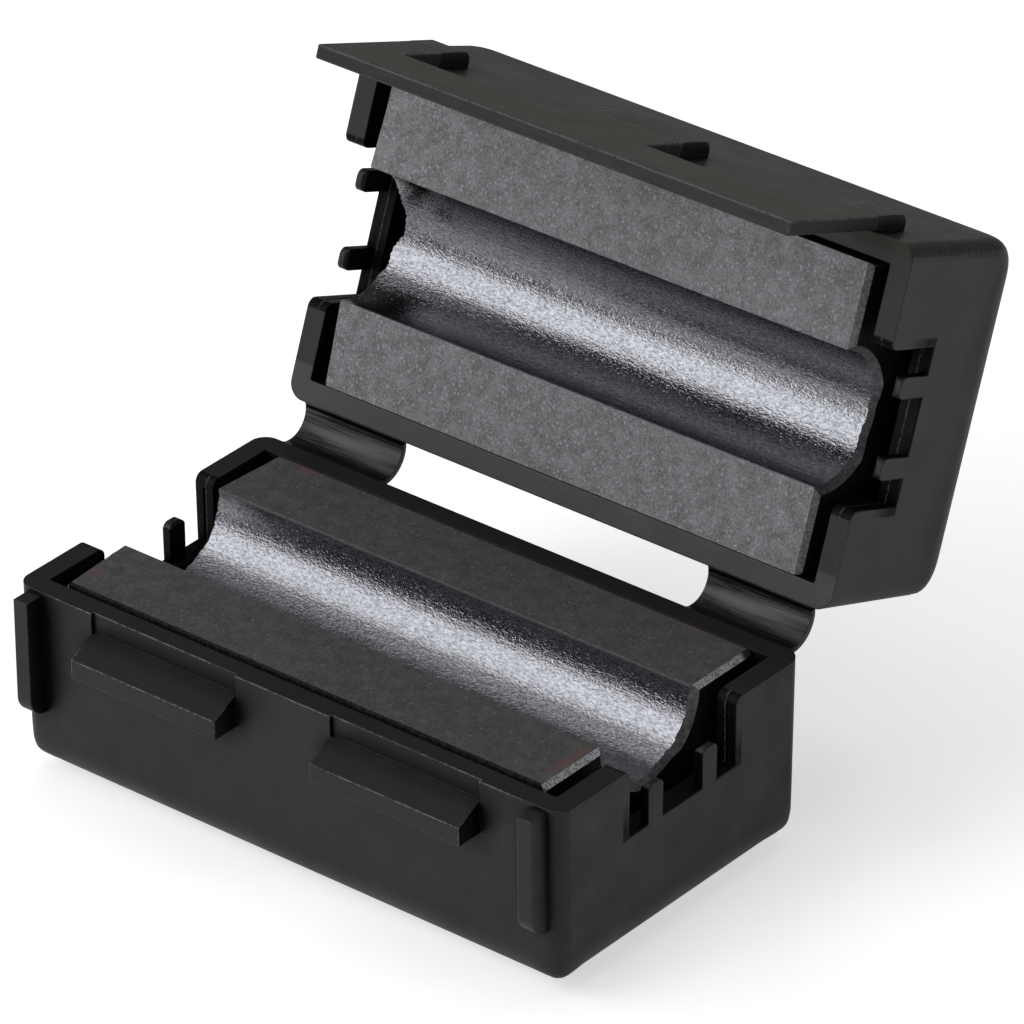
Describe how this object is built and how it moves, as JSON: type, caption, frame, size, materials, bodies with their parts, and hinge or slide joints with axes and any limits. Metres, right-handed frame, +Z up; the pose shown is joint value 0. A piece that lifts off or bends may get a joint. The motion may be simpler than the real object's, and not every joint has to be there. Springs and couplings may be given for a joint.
{
  "type": "clip on ferrite bead",
  "caption": "Clip-on cable choke: hinged plastic case with ferrite half cores, living hinge straps and a windowed latch plate, shown with its lid open.",
  "frame": {"origin": "centre of the underside of the lower half", "axes": "+X along the cable, +Y from the latch side to the hinge side, +Z up out of the lower half"},
  "size_m": [0.032, 0.0352, 0.0304],
  "materials": {
    "case_plastic": "fine grained black moulding",
    "ferrite": "ground lands, as-fired channel"
  },
  "bodies": {
    "base": {"case_base": "case_plastic", "core_lower": "ferrite", "hinge_strap_left": "case_plastic", "hinge_strap_right": "case_plastic"},
    "lid": {"case_lid": "case_plastic", "core_upper": "ferrite", "latch_plate": "case_plastic"}
  },
  "joints": [
    {"name": "lid_hinge", "type": "hinge", "parent": "base", "child": "lid", "pos_m": [0, 0.00995, 0.00995], "axis": [1, 0, 0], "range_deg": [-69.1, 110.9], "deforming": ["hinge_strap_left", "hinge_strap_right", "latch_plate"]}
  ]
}
